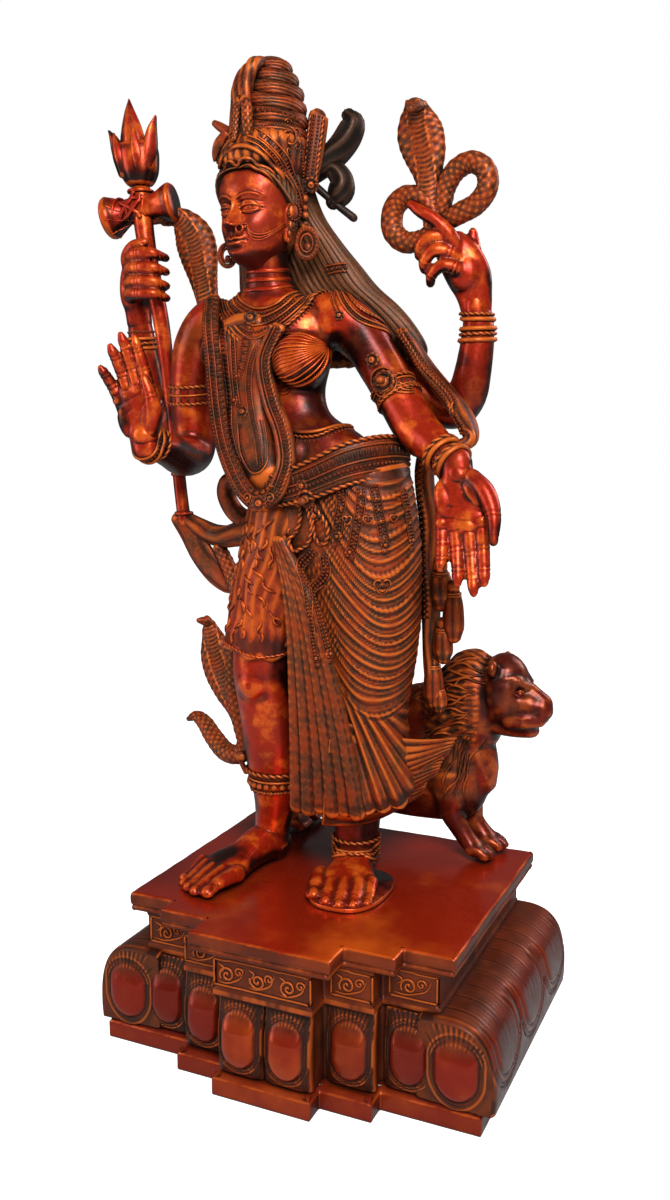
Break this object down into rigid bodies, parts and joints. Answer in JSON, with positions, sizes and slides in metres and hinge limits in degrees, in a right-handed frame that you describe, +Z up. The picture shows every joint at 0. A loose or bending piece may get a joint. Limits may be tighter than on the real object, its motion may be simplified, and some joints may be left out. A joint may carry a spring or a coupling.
{
  "type": "standing deity statue",
  "caption": "Cast brass temple statue of a four-armed half-male, half-female deity holding a trident and a cobra, with a lion behind, on a stepped lotus plinth.",
  "frame": {"origin": "centre of the flat underside of the plinth, on the surface the statue stands on", "axes": "+Z up along the height, -Y is the front that the deity faces, +X is the deity's own left"},
  "size_m": [0.3465, 0.2278, 0.6833],
  "materials": {
    "plinth_brass": "glossy red-brown lacquer patina over cast brass, ochre on worn edges, near black in recesses",
    "figure_brass": "red-brown lacquer patina over cast brass, ochre on raised relief, dark brown to olive in recesses",
    "lion_brass": "dark red-brown lacquer patina over cast brass"
  },
  "bodies": {
    "root": {"plinth": "plinth_brass", "figure": "figure_brass", "lion": "lion_brass"}
  },
  "joints": []
}
